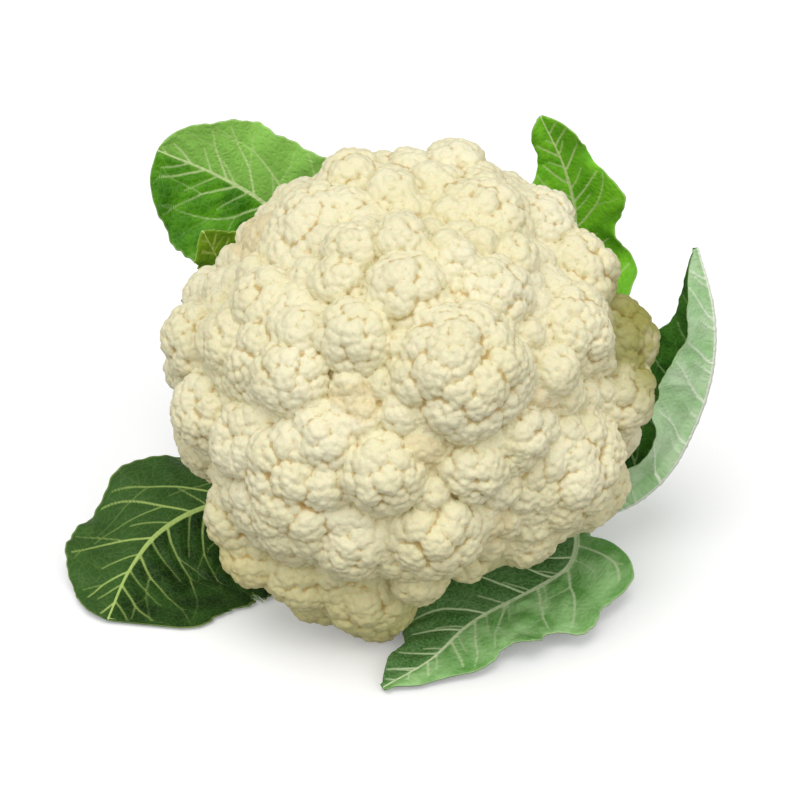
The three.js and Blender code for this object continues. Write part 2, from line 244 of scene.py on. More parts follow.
def spiral(count, rim, start, first=0.5):
    # directions spread evenly over a cap round +Z
    share = (np.arange(count) + first) / count
    height = 1 - share * (1 - math.cos(rim))
    level = np.sqrt(1 - height ** 2)
    turn = start + np.arange(count) * goldenAngle
    return np.stack([level * np.cos(turn), level * np.sin(turn), height], 1)


def placeFlorets(form):
    florets = []
    for turn, down, radius, lift in shownFlorets:
        florets.append((headDirection(math.radians(turn), math.radians(down)), radius, lift))
    draw = randomFrom(form["seed"])
    steps = spiral(form["spreadSteps"], math.radians(form["spreadRim"]), 0)
    for direction in steps:
        least, most = form["spreadRadii"]
        radius = least + (most - least) * draw()
        lift = form["spreadLift"] * (2 * draw() - 1)
        clear = True
        for other, otherRadius, _ in florets:
            apart = math.acos(max(-1, min(1, float(direction @ other)))) * form["radius"]
            clear = clear and apart > form["spreadOverlap"] * (radius + otherRadius)
        if clear:
            florets.append((direction, radius, lift))
    return florets


spheres = {}  # the cut spheres made so far


def geodesic(cuts):
    # an icosahedron with its faces cut evenly, pushed out to the unit sphere
    if cuts in spheres:
        return spheres[cuts]
    g = (1 + math.sqrt(5)) / 2
    tops = np.array(
        [[-1, g, 0], [1, g, 0], [-1, -g, 0], [1, -g, 0], [0, -1, g], [0, 1, g],
         [0, -1, -g], [0, 1, -g], [g, 0, -1], [g, 0, 1], [-g, 0, -1], [-g, 0, 1]]
    )
    sides = np.array(
        [(0, 11, 5), (0, 5, 1), (0, 1, 7), (0, 7, 10), (0, 10, 11), (1, 5, 9), (5, 11, 4),
         (11, 10, 2), (10, 7, 6), (7, 1, 8), (3, 9, 4), (3, 4, 2), (3, 2, 6), (3, 6, 8),
         (3, 8, 9), (4, 9, 5), (2, 4, 11), (6, 2, 10), (8, 6, 7), (9, 8, 1)]
    )
    steps = [(i, j) for i in range(cuts + 1) for j in range(cuts + 1 - i)]
    number = {step: k for k, step in enumerate(steps)}
    i, j = np.array(steps).T[:, :, None]
    patches = []
    for a, b, c in sides:
        patches.append((tops[a] * (cuts - i - j) + tops[b] * i + tops[c] * j) / cuts)
    small = []
    for a, b in steps:
        if a + b < cuts:
            small.append((number[a, b], number[a + 1, b], number[a, b + 1]))
        if a + b < cuts - 1:
            small.append((number[a + 1, b], number[a + 1, b + 1], number[a, b + 1]))
    faces = np.array(small)[None] + len(steps) * np.arange(20)[:, None, None]
    points = unit(np.concatenate(patches))
    _, first, same = np.unique(np.round(points, 5), axis=0, return_index=True, return_inverse=True)
    spheres[cuts] = (points[first], same.ravel()[faces.reshape(-1, 3)])
    return spheres[cuts]


def exitDistance(directions, centres, radii):
    # how far each ray from the middle runs before it leaves the last of the balls, and which that is
    along = directions @ centres.T
    inside = radii ** 2 - (centres ** 2).sum(1) + along ** 2
    reach = np.where(inside > 0, along + np.sqrt(np.maximum(inside, 0)), 0)
    last = reach.argmax(1)
    return reach[np.arange(len(last)), last], last


def seatsOn(axis, count, rim, spread, rng):
    # directions spread over a cap round the axis, a little out of true
    seats = spiral(count, math.radians(rim), rng.uniform(0, 6.3), 0.3)
    seats = unit(seats + rng.normal(0, spread, seats.shape))
    turn = Vector((0, 0, 1)).rotation_difference(Vector(axis)).to_matrix()
    return seats @ np.array(turn).T


def clusterFloret(axis, radius, rng, form, rim):
    # lobes parted by creases, each covered with low clusters, seen from the floret's own middle
    shown = (headTurn @ axis) @ form["shownFrom"] > -0.1
    spacing = form["spacing"] if shown else form["hiddenSpacing"]
    directions, faces = geodesic(max(5, math.ceil(1.17 * radius / spacing)))
    lobePitch = radius * float(np.interp(radius, form["lobeAtRadius"], form["lobePitch"]))
    lobeCount = int(11 * (radius / lobePitch) ** 2)
    lobes = seatsOn(axis, lobeCount, form["floretRim"], 0.3 * lobePitch / radius, rng)
    lobeSizes = lobePitch * rng.uniform(*form["lobeSize"], len(lobes))
    lobeTops = radius * rng.uniform(*form["lobeTop"], len(lobes))
    lobeSeats = lobes * (lobeTops - lobeSizes)[:, None]
    pitch = form["clusterPitch"]
    count = int(7.2 * (1 - math.cos(math.radians(rim))) * (radius / pitch) ** 2)
    seats = seatsOn(axis, count, rim, 0.15 * pitch / radius, rng)
    under, lobe = exitDistance(seats, lobeSeats, lobeSizes)
    seats, lobe, under = (values[under > 0.6 * radius] for values in (seats, lobe, under))
    tops = seats * under[:, None]
    sizes = pitch * rng.uniform(*form["clusterSize"], len(tops))
    centres = tops - unit(tops - lobeSeats[lobe]) * (sizes - form["clusterRise"])[:, None]
    reach, _ = exitDistance(directions, centres, sizes)
    smoothReach, _ = exitDistance(directions, lobeSeats, lobeSizes)
    reach = np.maximum(reach, smoothReach - form["clusterDepth"])
    return directions, faces, np.maximum(reach, form["leastReach"] * radius)


def coreReach(directions, form):
    # the closed middle of the head: a ball above, and below it a cone of joined branches
    x, y, z = directions.T
    fall = np.maximum(-z, 1e-6)
    level = np.hypot(x, y)
    neck = form["neckDepth"] / fall
    slope = form["coneSlope"]
    cone = form["coneShare"] * (form["neckDepth"] + slope * form["neckRadius"]) / (fall + slope * level)
    ribbed = smooth(cone * level, form["neckRadius"], 2 * form["neckRadius"])
    ribs = np.cos(form["coneRibs"] * np.arctan2(y, x))
    cone = cone * (1 + form["coneRibHeight"] * ribbed * ribs)
    below = np.minimum(np.minimum(neck, cone), form["coreRadius"])
    return np.where(z < 0, below, form["coreRadius"])


def branchMesh(end, radius, form, rng):
    # one branch from the stalk's top up to a floret, round and slightly swollen at the fork
    turn = math.atan2(end[1], end[0])
    around = np.array([math.cos(turn), math.sin(turn), 0])
    start = around * 8 + np.array([0, 0, 4 - form["neckDepth"]])
    knee = around * 0.62 * np.hypot(end[0], end[1]) + np.array([0, 0, 0.35 * end[2] - 21])
    share = np.linspace(0, 1, 26)[:, None]
    path = start * (1 - share) ** 2 + 2 * knee * share * (1 - share) + end * share ** 2
    forward = unit(np.gradient(path, axis=0))
    side = unit(np.cross(forward, np.array([0, 0, 1.0])))
    up = np.cross(side, forward)
    width = 7 + (0.62 * radius - 7) * share ** 1.3
    angle = np.linspace(0, 2 * math.pi, 30, endpoint=False)
    ridge = 1 + 0.03 * np.cos(5 * angle + rng.uniform(0, 6)) + 0.02 * np.cos(8 * angle)
    wheel = np.cos(angle)[None, :, None] * side[:, None] + np.sin(angle)[None, :, None] * up[:, None]
    rings = path[:, None] + wheel * (width * ridge)[:, :, None]
    count = len(angle)
    points = np.concatenate([rings.reshape(-1, 3), path[:1], path[-1:]])
    faces = []
    for row in range(len(path) - 1):
        for k in range(count):
            a, b = row * count + k, row * count + (k + 1) % count
            faces += [(a, b, b + count), (a, b + count, a + count)]
    last = (len(path) - 1) * count
    for k in range(count):
        faces.append(((k + 1) % count, k, len(points) - 2))
        faces.append((last + k, last + (k + 1) % count, len(points) - 1))
    return points, np.array(faces)


def fused(solids):
    # one closed mesh round overlapping solids
    group = bpy.data.collections.new("joined")
    bpy.context.scene.collection.children.link(group)
    objects = []
    for number, (points, faces) in enumerate(solids):
        solid = bpy.data.objects.new("solid", newMesh("solid", points, faces, 3))
        home = bpy.context.scene.collection if number == 0 else group
        home.objects.link(solid)
        objects.append(solid)
    union = objects[0].modifiers.new("union", "BOOLEAN")
    union.operation = "UNION"
    union.operand_type = "COLLECTION"
    union.collection = group
    union.solver = "MANIFOLD"
    graph = bpy.context.evaluated_depsgraph_get()
    mesh = bpy.data.meshes.new_from_object(objects[0].evaluated_get(graph))
    for solid in objects:
        used = solid.data
        bpy.data.objects.remove(solid)
        bpy.data.meshes.remove(used)
    bpy.data.collections.remove(group)
    mesh.calc_loop_triangles()
    points = np.empty(3 * len(mesh.vertices), np.float32)
    mesh.vertices.foreach_get("co", points)
    faces = np.empty(3 * len(mesh.loop_triangles), np.int32)
    mesh.loop_triangles.foreach_get("vertices", faces)
    bpy.data.meshes.remove(mesh)
    return points.reshape(-1, 3).astype(float) / mm, faces.reshape(-1, 3)


def edgesOf(faces):
    pairs = np.concatenate([faces[:, [0, 1]], faces[:, [1, 2]], faces[:, [2, 0]]]).astype(np.int64)
    count = faces.max() + 1
    keys = np.unique(pairs.min(1) * count + pairs.max(1))
    return np.stack([keys // count, keys % count], 1)


def outerShell(points, faces):
    # the faces joined to the highest point, without the shells round gaps inside
    a, b = edgesOf(faces).T
    label = np.arange(len(points))
    before = None
    while before is None or (label != before).any():
        before = label.copy()
        low = np.minimum(before[a], before[b])
        np.minimum.at(label, before[a], low)
        np.minimum.at(label, before[b], low)
        label = label[label]
    kept = label == label[points[:, 2].argmax()]
    number = np.cumsum(kept) - 1
    return points[kept], number[faces[kept[faces[:, 0]]]]


def relaxed(points, edges, rounds, pull=0.5):
    # each point drawn towards the mean of its neighbours
    a, b = edges.T
    count = len(points)
    degree = np.maximum(np.bincount(a, minlength=count) + np.bincount(b, minlength=count), 1)
    for _ in range(rounds):
        mean = np.empty_like(points)
        for k in range(3):
            total = np.bincount(a, points[b, k], count) + np.bincount(b, points[a, k], count)
            mean[:, k] = total / degree
        points = points + pull * (mean - points)
    return points


def normalsOf(points, faces):
    a, b, c = points[faces[:, 0]], points[faces[:, 1]], points[faces[:, 2]]
    face = np.cross(b - a, c - a)
    total = np.zeros_like(points)
    for corner in range(3):
        for k in range(3):
            total[:, k] += np.bincount(faces[:, corner], face[:, k], len(points))
    return unit(total)


def beadSeats(points, gap, rng):
    # points picked at random, none closer to another than the gap
    cells = np.floor(points / gap).astype(int)
    near = [(i, j, k) for i in (-1, 0, 1) for j in (-1, 0, 1) for k in (-1, 0, 1)]
    taken = {}
    seats = []
    for number in rng.permutation(len(points)):
        x, y, z = cells[number]
        px, py, pz = points[number]
        free = True
        for i, j, k in near:
            other = taken.get((x + i, y + j, z + k))
            if other and (other[0] - px) ** 2 + (other[1] - py) ** 2 + (other[2] - pz) ** 2 < gap * gap:
                free = False
                break
        if free:
            taken[x, y, z] = (px, py, pz)
            seats.append(number)
    return np.array(seats)


def beadHeight(points, seats, radii):
    # the top of the highest bead over each point
    tree = KDTree(len(seats))
    for number, seat in enumerate(seats):
        tree.insert(points[seat], number)
    tree.balance()
    height = np.zeros(len(points))
    for number, point in enumerate(points):
        best = 0.0
        for _, index, apart in tree.find_n(point, 3):
            inside = radii[index] ** 2 - apart * apart
            if inside > best:
                best = inside
        height[number] = best
    return np.sqrt(height)


def beadLayer(points, clear, form, rng):
    # beads on the points that no crease swallows
    seats = clear[beadSeats(points[clear], form["beadGap"], rng)]
    radii = form["beadRadius"] * rng.uniform(*form["beadSize"], len(seats))
    print("curd: beads", len(seats))
    return beadHeight(points, seats, radii) - form["beadRadius"]


def ownerOf(points, centres, sizes):
    # the floret that each point belongs to
    best = np.full(len(points), 1e9)
    owner = np.zeros(len(points), int)
    for number, (centre, size) in enumerate(zip(centres, sizes)):
        apart = np.linalg.norm(points - centre, axis=1) / size
        nearer = apart < best
        owner[nearer] = number
        best = np.minimum(best, apart)
    return owner


def restingFloret(direction, radius, lift, rim, form, rng):
    # a floret's middle and its solid, in the head's own frame, kept clear of the table
    centre = direction * (form["radius"] + lift - radius)
    rays, faces, reach = clusterFloret(direction, radius, rng, form, rim)
    drop = (headTurn @ centre + domeCentre)[2]
    fall = np.maximum(-(rays @ headTurn.T)[:, 2], 1e-6)
    reach = np.minimum(reach, np.maximum(drop - form["tableGap"], 1) / fall)
    return centre, (centre + rays * reach[:, None], faces)


def curdSolids(form, rng):
    # the core, the masses, the florets with their branches, and the buds deep between them
    core, coreFaces = geodesic(form["coreCuts"])
    solids = [(core * coreReach(core, form)[:, None], coreFaces)]
    for turn, down, radius, lift in masses:
        direction = headDirection(math.radians(turn), math.radians(down))
        _, solid = restingFloret(direction, radius, lift, form["massRim"], form, rng)
        solids.append(solid)
    florets = []
    for direction, radius, lift in placeFlorets(form):
        radius = radius * form["floretSwell"]
        centre, solid = restingFloret(direction, radius, lift, form["floretRim"], form, rng)
        florets.append((headTurn @ centre + domeCentre, radius, lift))
        solids.append(solid)
        if direction[2] < form["branchBelow"]:
            solids.append(branchMesh(centre, radius, form, rng))
    for direction in spiral(form["deepCount"], math.radians(form["deepRim"]), 1.7):
        rays, faces, reach = clusterFloret(direction, form["deepRadius"], rng, form, form["floretRim"])
        lift = rng.uniform(-form["deepLift"], form["deepLift"])
        centre = direction * (form["deepTop"] - form["deepRadius"] + lift)
        solids.append((centre + rays * reach[:, None], faces))
    solids = [(points @ headTurn.T + domeCentre, faces) for points, faces in solids]
    print("curd: solids", len(solids), "triangles", sum(len(faces) for _, faces in solids))
    return solids, florets


def spotOn(sides, spot):
    # 1 in the middle of a spot, given by its turn, its way down, its edge and its full part
    turn, down, edge, full = spot
    return smooth(sides @ headDirection(math.radians(turn), math.radians(down)), edge, full)


def makeCurd(form):
    rng = np.random.default_rng(form["seed"])
    solids, florets = curdSolids(form, rng)
    centres, sizes, lifts = (np.array(values) for values in zip(*florets))
    points, faces = outerShell(*fused(solids))
    print("curd: fused", len(points), "points", len(faces), "triangles")
    edges = edgesOf(faces)
    points = relaxed(points, edges, 1, 0.3)
    normals = normalsOf(points, faces)
    crease = ((relaxed(points, edges, form["creaseRounds"]) - points) * normals).sum(1)
    local = (points - domeCentre) @ headTurn
    beaded = smooth(np.linalg.norm(local, axis=1), *form["beadFrom"])
    owner = ownerOf(points, centres, sizes)
    strength = rng.uniform(*form["beadStrength"], len(sizes))[owner]
    tone = rng.uniform(0, 1, len(sizes))[owner]
    # florets a few millimetres down are painted darker and warmer, a painted shade of their recess; the
    # deepest ones are not
    sunken = (smooth(-lifts, 2.5, 4) * (1 - smooth(-lifts, 6, 6.8)))[owner]
    clear = np.flatnonzero(crease < form["beadCrease"])
    height = beadLayer(points, clear, form, rng) * strength
    points = points + normals * (height * beaded)[:, None]
    points = relaxed(points, edges, 1, 0.2)
    points[:, 2] = np.maximum(points[:, 2], 0)
    normals = normalsOf(points, faces)
    broad = ((relaxed(points, edges, form["broadRounds"]) - points) * normals).sum(1)
    sides = unit(local)
    return points, faces, {
        "fineCavity": crease, "broadCavity": broad, "beaded": beaded, "tone": tone, "sunken": sunken,
        "green": spotOn(sides, form["oliveShadeSpot"]), "yellow": spotOn(sides, form["yellowSpot"]),
    }


curdColours = {
    "pale": shade(234, 228, 196), "cream": shade(228, 221, 182), "warm": shade(225, 217, 174),
    "sunken": shade(212, 188, 132), "yellow": shade(230, 208, 122), "low": shade(200, 192, 132),
    "crease": shade(196, 152, 86), "fineCreaseShade": shade(184, 154, 84), "creaseSpeckShade": shade(150, 110, 60),
    "oliveShade": shade(168, 170, 108), "rind": shade(214, 216, 160), "greenRind": shade(190, 200, 130),
}


def curdMaterial(colours):
    material, wire, connect = newMaterial(
        "curd", {"Subsurface Weight": 0.1, "Subsurface Scale": 0.001, "Specular IOR Level": 0.25}
    )
    place = wire.place()
    fine = wire.attribute("fineCavity")
    broad = wire.attribute("broadCavity")
    beaded = wire.attribute("beaded")
    patches = wire.noise(place, 45).between(0.35, 0.7)
    speckle = wire.noise(place, 900, 2).between(0.58, 0.75)
    tone = wire.attribute("tone")
    cream = patches.blend(colours["pale"], colours["cream"])
    cream = (tone * 0.5).blend(cream, colours["warm"])
    # recessed florets painted darker and warmer: painted shade
    cream = (wire.attribute("sunken") * 0.35).blend(cream, colours["sunken"])
    cream = (wire.attribute("yellow") * 0.55).blend(cream, colours["yellow"])
    # the broad creases, which take the painted shade below
    crease = broad.between(0.4, 2.2)
    # painted shade: the head darker and yellower towards the table, where the light from above reaches
    # less
    height = wire.node("ShaderNodeSeparateXYZ", (), {0: place}, 2)
    cream = (1 - height.between(0.0, 0.08)).blend(cream, colours["low"])
    # broad and fine creases painted tan and darker: partly the tissue's own tan, partly painted shade
    # that falls in them
    colour = (crease * 0.85).blend(cream, colours["crease"])
    colour = (fine.between(0.05, 0.4) * 0.72).blend(colour, colours["fineCreaseShade"])
    # dark brown specks only inside the creases: the deepest painted shade, broken into specks
    colour = (speckle * crease * 0.5).blend(colour, colours["creaseSpeckShade"])
    # painted shade: the far-right florets tucked behind the right leaf are multiplied darker and olive
    oliveShade = wire.attribute("green") * wire.noise(place, 70).between(0.2, 0.55)
    tint = {0: oliveShade, 6: colour, 7: colours["oliveShade"]}
    colour = wire.node("ShaderNodeMix", {"data_type": "RGBA", "blend_type": "MULTIPLY"}, tint, 2)
    rind = wire.noise(place, 160).blend(colours["rind"], colours["greenRind"])
    colour = beaded.between(0.0, 0.6).blend(rind, colour)
    connect("Base Color", colour)
    connect("Roughness", wire.noise(place, 300) * 0.2 + 0.5)
    buds = {"Vector": place, "Scale": 560, "Smoothness": 0.2}
    cells = wire.node("ShaderNodeTexVoronoi", {"feature": "SMOOTH_F1"}, buds)
    grain = 1 - cells * cells + wire.noise(place, 1500, 3) * 0.3
    connect("Normal", wire.bump(grain * beaded, 0.0003, 1.0))
    return material


points, faces, cavities = makeCurd(curdForm)
curdMesh = newMesh("curdFlorets", points, faces, 3)
newPiece("curdFlorets", curdMesh, curdMaterial(curdColours), "curd", cavities)
print("curd: done")


# The stalk: a short stump cut flat where it stands.
stalkForm = {
    "heights": [0, 0.04, 0.35, 0.7, 1], "radii": [24.6, 25, 24, 21, 20], "top": 33,
    "ridges": 9, "ridgeHeight": 0.8, "fibres": (17, 29, 43), "fibreHeight": 0.1,
    "scars": [(0.5, 0.3, 0.05), (0.4, 0.62, 0.04)],  # depth, height and breadth of each leaf scar
    "sides": 144, "rings": 60, "cutRings": 24, "seed": 21,
}


def makeStalk(form):
    rng = np.random.default_rng(form["seed"])
    angle = np.linspace(0, 2 * math.pi, form["sides"], endpoint=False)
    ridge = form["ridgeHeight"] * np.cos(form["ridges"] * angle)
    fibre = np.zeros(form["sides"])
    for count in form["fibres"]:
        fibre = fibre + form["fibreHeight"] * np.cos(count * angle + rng.uniform(0, 6.3))
    share = np.linspace(0, 1, form["rings"])
    radius = np.interp(share, form["heights"], form["radii"])
    # each side line runs from the cut, level with the table, up to the neck
    out = np.stack([np.cos(angle), np.sin(angle)], 1)
    slope = headTurn[2]
    rings = []
    for inset in np.linspace(0, 1, form["cutRings"], endpoint=False):
        flat = out * (inset * (radius[0] + ridge + fibre))[:, None]
        rings.append(np.column_stack([flat, -(flat @ slope[:2]) / slope[2]]))
    for step, size in zip(share, radius):
        scar = sum(deep * math.exp(-((step - at) / broad) ** 2) for deep, at, broad in form["scars"])
        scars = scar * (1 + np.cos(2 * angle))
        flat = out * (size + (ridge + fibre) * (1 - 0.4 * step) - scars)[:, None]
        low = -(flat @ slope[:2]) / slope[2]
        rings.append(np.column_stack([flat, low + (form["top"] - low) * step]))
    rings.append(np.column_stack([out * 0.5, np.full(form["sides"], form["top"])]))
    grid = np.array(rings)
    rows, sides = grid.shape[:2]
    points = grid.reshape(-1, 3) @ headTurn.T
    a = (np.arange(rows - 1)[:, None] * sides + np.arange(sides)).ravel()
    b = (np.arange(rows - 1)[:, None] * sides + (np.arange(sides) + 1) % sides).ravel()
    faces = np.stack([a, a + sides, b + sides, b], 1)[:, ::-1]
    heart = len(points)
    points = np.vstack([points, grid[0].mean(0) @ headTurn.T])
    cut = np.repeat((np.arange(rows) < form["cutRings"]).astype(float), sides)
    spread = np.hypot(grid[:, :, 0], grid[:, :, 1]).ravel()
    level = np.repeat(np.arange(rows) * 0.5, sides)
    grain = np.vstack([np.column_stack([np.tile(angle * 20, rows), level, spread]), [[0, 0, 0]]])
    # the middle of the cut face and the top are closed with triangles
    wheel = np.arange(sides)
    fan = np.stack([wheel, np.roll(wheel, -1), np.full(sides, heart)], 1)[:, ::-1]
    top = np.arange(heart - sides, heart)
    lid = np.stack([np.full(sides - 2, top[0]), top[1:-1], top[2:]], 1)
    triangles = np.concatenate([faces[:, [0, 1, 2]], faces[:, [0, 2, 3]], fan, lid])
    return points, triangles, {"cutFace": np.append(cut, 1), "grain": grain}


def stalkMaterial():
    constants = {"Subsurface Weight": 0.15, "Subsurface Scale": 0.002}
    material, wire, connect = newMaterial("stalk", constants)
    grain = wire.attribute("grain", "Vector")
    place = wire.place()
    cut = wire.attribute("cutFace")
    drawnOut = {0: grain, 1: (1, 0.12, 0)}
    stretch = wire.node("ShaderNodeVectorMath", {"operation": "MULTIPLY"}, drawnOut)
    fibres = wire.noise(stretch, 1.6, 4)
    rind = fibres.between(0.3, 0.7).blend(shade(176, 190, 112), shade(214, 219, 158))
    ring = wire.noise(place, 120).between(0.4, 0.65)
    flesh = ring.blend(shade(233, 228, 190), shade(216, 206, 156))
    colour = cut.between(0.3, 0.7).blend(rind, flesh)
    connect("Base Color", colour)
    connect("Roughness", fibres * 0.25 + 0.4)
    connect("Normal", wire.bump(fibres, 0.0006, 0.6))
    return material


points, faces, grains = makeStalk(stalkForm)
stalkMesh = newMesh("stalkStump", points, faces, 3)
newPiece("stalkStump", stalkMesh, stalkMaterial(), "stalk", grains)
print("stalk: done")


# The leaves share one growth rule: a spine, two half blades that fold up from it, and branching veins.
leafFinish = {
    "grid": 0.62, "thickness": 0.85, "marginThickness": 0.45, "petioleWing": 2.4, "tipWing": 0.8,
    "quilt": 0.8, "quiltReach": 3.2, "rest": 1.1, "lowest": 0.15,
    "veinRidge": 0.3, "veinStep": 3.5, "veinTaper": 0.93, "veinWander": 0.06, "veinBend": 0.025,
    "forkChance": 0.32, "leastVein": 0.52, "fullVein": 0.55,
}


def smoothSpine(knots, count):
    # a curve through the knots, read off at even steps
    knots = np.array(knots, float)
    ends = np.vstack([2 * knots[0] - knots[1], knots, 2 * knots[-1] - knots[-2]])
    s = np.linspace(0, 1, 80, endpoint=False)[:, None]
    runs = []
    for a, b, c, d in zip(ends, ends[1:], ends[2:], ends[3:]):
        leave, arrive = (c - a) / 2, (d - b) / 2
        bend = leave * (s ** 3 - 2 * s ** 2 + s) + arrive * (s ** 3 - s ** 2)
        runs.append(b * (2 * s ** 3 - 3 * s ** 2 + 1) + c * (3 * s ** 2 - 2 * s ** 3) + bend)
    path = np.concatenate(runs + [knots[-1:]])
    steps = np.concatenate([[0], np.cumsum(np.linalg.norm(np.diff(path, axis=0), axis=1))])
    even = np.linspace(0, steps[-1], count)
    points = np.stack([np.interp(even, steps, path[:, k]) for k in range(3)], 1)
    return points, unit(np.gradient(points, axis=0)), steps[-1]


def growVein(lines, place, heading, thick, left, level, side, widthAt, rng):
    # one vein over the flattened blade, step by step, forking on its way to the margin
    step = leafFinish["veinStep"]
    sinceFork = 0
    while left > 0:
        heading += rng.normal(0, leafFinish["veinWander"]) - leafFinish["veinBend"]
        ahead = place + step * np.array([math.cos(heading), side * math.sin(heading)])
        if abs(ahead[1]) > 0.95 * widthAt(ahead[0]):
            break
        lines.append((place, ahead, thick, thick * leafFinish["veinTaper"]))
        place = ahead
        thick *= leafFinish["veinTaper"]
        left -= step
        sinceFork += 1
        if level < 2 and sinceFork > 2 and rng.random() < leafFinish["forkChance"]:
            swing = rng.choice([-1, 1]) * rng.uniform(0.45, 0.7)
            fork = (place, heading + swing, thick * 0.7, left * 0.3, level + 1)
            growVein(lines, *fork, side, widthAt, rng)
            heading -= 0.25 * swing
            sinceFork = 0


def veinLines(leaf, length, along, widths, rng):
    lines = []
    for half, side in ((0, -1), (1, 1)):
        def widthAt(s, half=half):
            return float(np.interp(s / length, along, widths[half], right=0))

        count = leaf["laterals"]
        for number in range(count):
            share = (number + 0.35 + 0.5 * half * rng.uniform(0.6, 1.2)) / count
            start = length * (leaf["bladeFrom"] + (0.94 - leaf["bladeFrom"]) * share ** 0.9)
            heading = math.radians(66 - 26 * share + rng.uniform(-6, 6))
            thick = 0.6 - 0.22 * share
            growVein(lines, np.array([start, 0.0]), heading, thick, 90, 0, side, widthAt, rng)
            between = start + 0.5 * length / count * rng.uniform(0.6, 1)
            short = 0.4 * widthAt(between)
            growVein(lines, np.array([between, 0.0]), heading, 0.32, short, 2, side, widthAt, rng)
    return lines


def veinMap(lines, flat):
    # how much of a vein each point shows, and how far off the nearest one is
    vein = np.zeros(len(flat))
    apart = np.full(len(flat), 50.0)
    for start, end, thick, thin in lines:
        run = end - start
        share = np.clip((flat - start) @ run / (run @ run), 0, 1)
        gap = np.linalg.norm(flat - start - share[:, None] * run, axis=1)
        width = np.maximum(thick + (thin - thick) * share, leafFinish["leastVein"])
        strength = np.clip((thick + (thin - thick) * share) / leafFinish["fullVein"], 0.25, 1)
        vein = np.maximum(vein, strength * np.exp(-((gap / width) ** 2)))
        apart = np.minimum(apart, gap)
    return vein, apart


def halfBlade(leaf, half, along, rng):
    # the width of one half along the spine, and how its margin waves
    blade = (along - leaf["bladeFrom"]) / (1 - leaf["bladeFrom"])
    peak = leaf["peak"][half]
    inside = np.clip(blade, 1e-6, 1 - 1e-6)
    rise = (inside / peak) ** (leaf["roundness"][half] * peak)
    fall = ((1 - inside) / (1 - peak)) ** (leaf["roundness"][half] * (1 - peak))
    outline = np.where((blade > 0) & (blade < 1), rise * fall, 0)
    count, depth, phase = leaf["lobe"]
    lobes = depth * np.sin(2 * math.pi * count * blade + phase + half)
    for teeth, height in leaf["teeth"]:
        lobes = lobes + height * np.sin(2 * math.pi * teeth * blade + rng.uniform(0, 6.3))
    lobes = 1 + lobes * smooth(blade, 0.05, 0.25)
    rib = leaf["petiole"][0] + (1 - leaf["petiole"][0]) * along
    wing = leafFinish["petioleWing"] + (leafFinish["tipWing"] - leafFinish["petioleWing"]) * along
    width = rib + np.maximum(wing, leaf["halfWidth"][half] * outline * lobes - rib)
    height, count, phase = leaf["wave"]
    wave = height * outline * np.sin(2 * math.pi * count * along + phase + half)
    ruffle = np.zeros_like(along)
    for count, height in leaf["ruffle"]:
        ruffle = ruffle + height * outline * np.sin(2 * math.pi * count * along + rng.uniform(0, 6.3))
    return width, wave, ruffle


